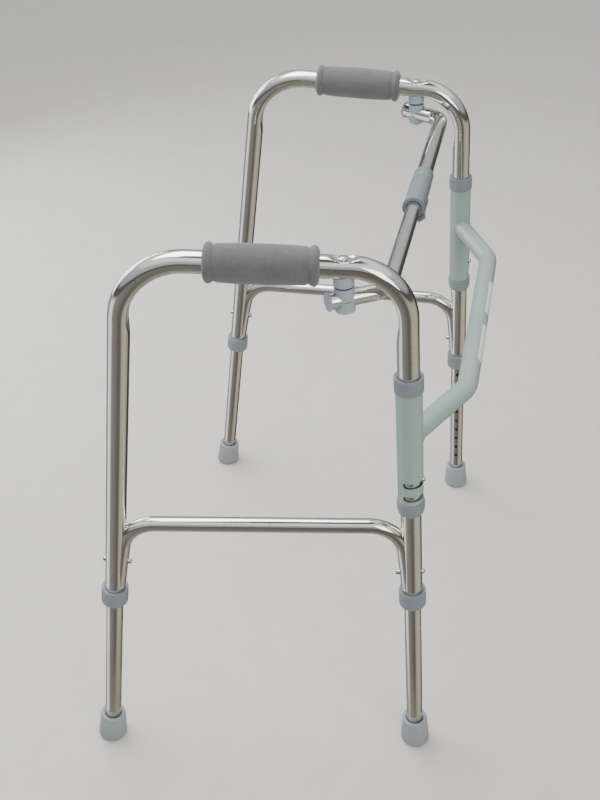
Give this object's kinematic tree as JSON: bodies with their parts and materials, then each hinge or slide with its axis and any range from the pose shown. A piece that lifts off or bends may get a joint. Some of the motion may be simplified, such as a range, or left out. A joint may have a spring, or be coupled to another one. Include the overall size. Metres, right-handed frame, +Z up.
{
  "type": "folding walking frame",
  "caption": "Folding adult walking frame: two tubular side frames on a front crossbar, a telescopic top brace, foam grips, and height-adjustable legs on rubber tips.",
  "frame": {"origin": "on the floor, under the middle of the bounding box of the frame as it stands in the picture", "axes": "+Z up, the front crossbar faces -Y, the user stands on the +Y side facing -Y, and the user's right side frame is on -X"},
  "size_m": [0.6942, 0.4964, 0.7834],
  "materials": {
    "brushed": "bright plated extension tube, a little duller than the frame",
    "bush_grey": "smooth moulded bluish grey plastic",
    "chrome": "mirror-bright plated tube",
    "foam": "mid grey closed-cell foam",
    "foot_rubber": "light grey moulded rubber",
    "label": "blank white label",
    "saddle_grey": "smooth moulded pale grey plastic",
    "sage": "smooth semi-gloss sage green paint",
    "steel": "small bright steel fittings"
  },
  "bodies": {
    "crossbar": {"front_crossbar": "sage", "left_label": "label", "right_label": "label", "left_sleeve": "sage", "left_sleeve_top_bush": "bush_grey", "left_sleeve_bottom_bush": "bush_grey", "right_sleeve": "sage", "right_sleeve_top_bush": "bush_grey", "right_sleeve_bottom_bush": "bush_grey"},
    "right_side": {"right_side_frame_tube": "chrome", "right_lower_bar": "chrome", "right_hand_grip": "foam", "right_pivot_bolt": "steel", "right_pivot_bush": "saddle_grey", "right_front_leg_collar": "bush_grey", "right_rear_leg_collar": "bush_grey", "right_front_snap_spring": "steel", "right_rear_snap_spring": "steel", "right_pivot_nut": "steel"},
    "left_side": {"left_side_frame_tube": "chrome", "left_lower_bar": "chrome", "left_hand_grip": "foam", "left_pivot_bolt": "steel", "left_pivot_bush": "saddle_grey", "left_front_leg_collar": "bush_grey", "left_rear_leg_collar": "bush_grey", "left_front_snap_spring": "steel", "left_rear_snap_spring": "steel"},
    "right_front_extension": {"right_front_leg_extension": "brushed", "right_front_foot_tip": "foot_rubber"},
    "right_front_snap_inner": {"right_front_snap_button_inner": "steel"},
    "right_front_snap_outer": {"right_front_snap_button_outer": "steel"},
    "right_rear_extension": {"right_rear_leg_extension": "brushed", "right_rear_foot_tip": "foot_rubber"},
    "right_rear_snap_inner": {"right_rear_snap_button_inner": "steel"},
    "right_rear_snap_outer": {"right_rear_snap_button_outer": "steel"},
    "right_fold_stop": {"right_fold_stop_button": "steel"},
    "left_front_extension": {"left_front_leg_extension": "brushed", "left_front_foot_tip": "foot_rubber"},
    "left_front_snap_inner": {"left_front_snap_button_inner": "steel"},
    "left_front_snap_outer": {"left_front_snap_button_outer": "steel"},
    "left_rear_extension": {"left_rear_leg_extension": "brushed", "left_rear_foot_tip": "foot_rubber"},
    "left_rear_snap_inner": {"left_rear_snap_button_inner": "steel"},
    "left_rear_snap_outer": {"left_rear_snap_button_outer": "steel"},
    "left_fold_stop": {"left_fold_stop_button": "steel"},
    "brace_washer": {"right_pivot_washer": "steel"},
    "brace_inner_half": {"brace_inner_tube": "chrome", "right_brace_upper_saddle": "saddle_grey", "right_brace_lower_saddle": "saddle_grey", "right_brace_end_plug": "saddle_grey"},
    "brace_guide": {"brace_guide_bush": "bush_grey"},
    "brace_outer_half": {"brace_outer_tube": "chrome", "brace_collar": "bush_grey", "left_brace_upper_saddle": "saddle_grey", "left_brace_lower_saddle": "saddle_grey", "left_brace_bolt": "steel", "left_brace_end_plug": "saddle_grey"},
    "brace_lever": {"brace_release_lever": "bush_grey"}
  },
  "joints": [
    {"name": "right_fold", "type": "hinge", "parent": "crossbar", "child": "right_side", "pos_m": [-0.23299, -0.17939, 0.53887], "axis": [-0.0215, -0.0609, -0.9979], "range_deg": [0, 96]},
    {"name": "left_fold", "type": "hinge", "parent": "crossbar", "child": "left_side", "pos_m": [0.30815, -0.18302, 0.53886], "axis": [-0.0357, 0.0542, 0.9979], "range_deg": [-13.5, 70]},
    {"name": "right_front_leg_slide", "type": "slide", "parent": "right_side", "child": "right_front_extension", "axis": [0.0215, 0.0609, 0.9979], "range_m": [0, 0.1016]},
    {"name": "right_front_snap_inner_press", "type": "slide", "parent": "right_side", "child": "right_front_snap_inner", "axis": [0.1889, -0.9804, 0.0558], "range_m": [0, 0.0034], "stiffness_N_per_m": 300, "springref_m": -0.004},
    {"name": "right_front_snap_outer_press", "type": "slide", "parent": "right_side", "child": "right_front_snap_outer", "axis": [-0.1889, 0.9804, -0.0558], "range_m": [0, 0.0034], "stiffness_N_per_m": 300, "springref_m": -0.004},
    {"name": "right_rear_leg_slide", "type": "slide", "parent": "right_side", "child": "right_rear_extension", "axis": [0.0563, -0.123, 0.9908], "range_m": [0, 0.1016]},
    {"name": "right_rear_snap_inner_press", "type": "slide", "parent": "right_side", "child": "right_rear_snap_inner", "axis": [-0.1816, 0.9746, 0.1313], "range_m": [0, 0.0034], "stiffness_N_per_m": 300, "springref_m": -0.004},
    {"name": "right_rear_snap_outer_press", "type": "slide", "parent": "right_side", "child": "right_rear_snap_outer", "axis": [0.1816, -0.9746, -0.1313], "range_m": [0, 0.0034], "stiffness_N_per_m": 300, "springref_m": -0.004},
    {"name": "right_fold_stop_press", "type": "slide", "parent": "right_side", "child": "right_fold_stop", "axis": [-0.1889, 0.9804, -0.0558], "range_m": [0, 0.0034], "stiffness_N_per_m": 300, "springref_m": -0.004},
    {"name": "left_front_leg_slide", "type": "slide", "parent": "left_side", "child": "left_front_extension", "axis": [-0.0357, 0.0542, 0.9979], "range_m": [0, 0.1016]},
    {"name": "left_front_snap_inner_press", "type": "slide", "parent": "left_side", "child": "left_front_snap_inner", "axis": [0.0452, -0.9974, 0.0558], "range_m": [0, 0.0034], "stiffness_N_per_m": 300, "springref_m": -0.004},
    {"name": "left_front_snap_outer_press", "type": "slide", "parent": "left_side", "child": "left_front_snap_outer", "axis": [-0.0452, 0.9974, -0.0558], "range_m": [0, 0.0034], "stiffness_N_per_m": 300, "springref_m": -0.004},
    {"name": "left_rear_leg_slide", "type": "slide", "parent": "left_side", "child": "left_rear_extension", "axis": [-0.0266, -0.1328, 0.9908], "range_m": [0, 0.1016]},
    {"name": "left_rear_snap_inner_press", "type": "slide", "parent": "left_side", "child": "left_rear_snap_inner", "axis": [-0.051, 0.99, 0.1313], "range_m": [0, 0.0034], "stiffness_N_per_m": 300, "springref_m": -0.004},
    {"name": "left_rear_snap_outer_press", "type": "slide", "parent": "left_side", "child": "left_rear_snap_outer", "axis": [0.051, -0.99, -0.1313], "range_m": [0, 0.0034], "stiffness_N_per_m": 300, "springref_m": -0.004},
    {"name": "left_fold_stop_press", "type": "slide", "parent": "left_side", "child": "left_fold_stop", "axis": [-0.0452, 0.9974, -0.0558], "range_m": [0, 0.0034], "stiffness_N_per_m": 300, "springref_m": -0.004},
    {"name": "brace_swivel", "type": "hinge", "parent": "right_side", "child": "brace_washer", "pos_m": [-0.2414, -0.10384, 0.72], "axis": [0.0215, 0.0609, 0.9979], "range_deg": [-0.5, 103.75]},
    {"name": "brace_trim_swivel", "type": "hinge", "parent": "brace_washer", "child": "brace_inner_half", "pos_m": [-0.23913, -0.11561, 0.72067], "axis": [0.0215, 0.0609, 0.9979], "range_deg": [-6, 1.56]},
    {"name": "brace_telescope", "type": "slide", "parent": "brace_inner_half", "child": "brace_guide", "axis": [1, 0, 0], "range_m": [-0.0755, 0.001]},
    {"name": "brace_trim_telescope", "type": "slide", "parent": "brace_guide", "child": "brace_outer_half", "axis": [1, 0, 0], "range_m": [-0.0591, 0.0122]},
    {"name": "brace_release", "type": "hinge", "parent": "brace_outer_half", "child": "brace_lever", "pos_m": [0.02941, -0.15475, 0.7092], "axis": [0, -0.766, 0.6428], "range_deg": [0, 12], "stiffness_Nm_per_rad": 0.05, "springref_deg": -11.46}
  ],
  "couplings": [
    {"joint": "brace_swivel", "follows": "right_fold", "ratio": 1.0755},
    {"joint": "brace_trim_swivel", "follows": "left_fold", "ratio": -0.07859},
    {"joint": "brace_telescope", "follows": "right_fold", "m_per_rad": -0.044439},
    {"joint": "brace_trim_telescope", "follows": "left_fold", "m_per_rad": -0.047559}
  ]
}
